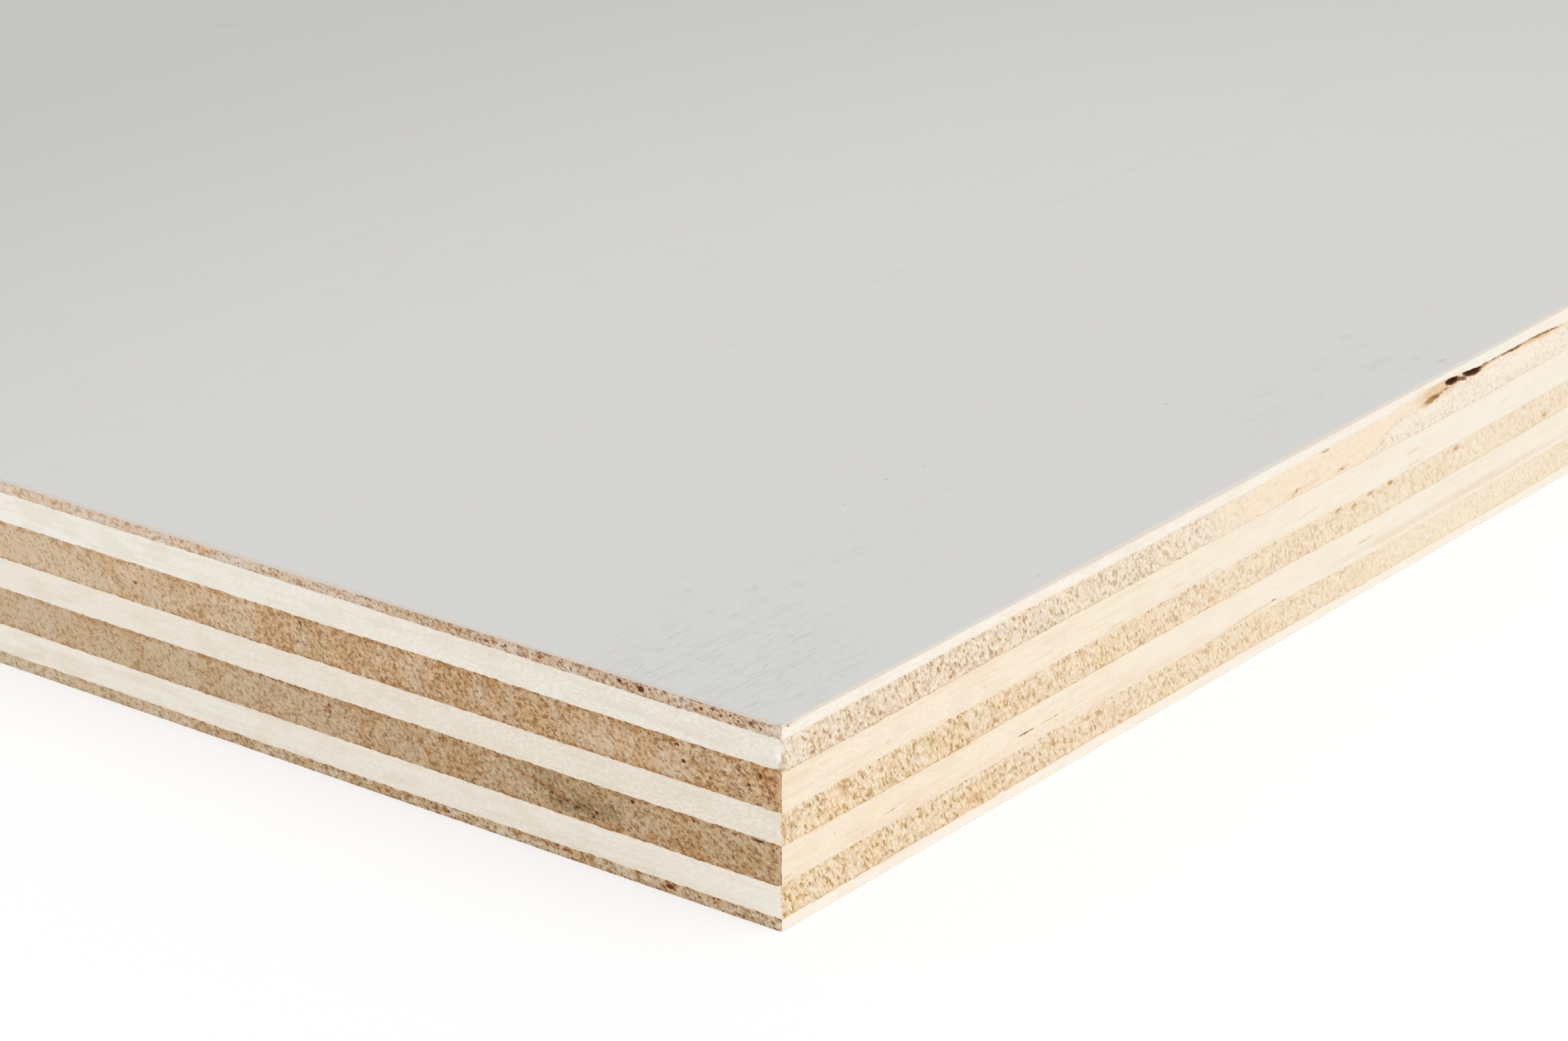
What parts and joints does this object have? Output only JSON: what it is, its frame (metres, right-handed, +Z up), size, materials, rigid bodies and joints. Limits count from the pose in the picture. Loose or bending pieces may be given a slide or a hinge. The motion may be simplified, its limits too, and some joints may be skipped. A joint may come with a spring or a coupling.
{
  "type": "plywood sheet",
  "caption": "Flat rectangular poplar plywood sheet, cross-laminated from rotary-cut veneers, with a thin pale grey coat on its face and bare square-sawn edges.",
  "frame": {"origin": "centre of the sheet's bottom face, the one that lies on the floor", "axes": "+X along the long side and the face veneer's grain, +Y along the short side, +Z up through the thickness to the coated face"},
  "size_m": [2.44, 1.22, 0.018],
  "materials": {
    "grey_coat": "hard pale grey coat with a soft sheen, through which the face veneer's grain shows faintly",
    "long_grain_veneer": "bare sawn poplar: brown and porous where the grain ends, cream and smooth along it",
    "cross_grain_veneer": "bare sawn poplar: off-white and smooth along the grain, pale straw and grainy where it ends"
  },
  "bodies": {
    "root": {"grey_face_coat": "grey_coat", "face_veneer": "long_grain_veneer", "upper_crossband": "cross_grain_veneer", "upper_long_ply": "long_grain_veneer", "core_crossband": "cross_grain_veneer", "lower_long_ply": "long_grain_veneer", "lower_crossband": "cross_grain_veneer", "back_veneer": "long_grain_veneer"}
  },
  "joints": []
}
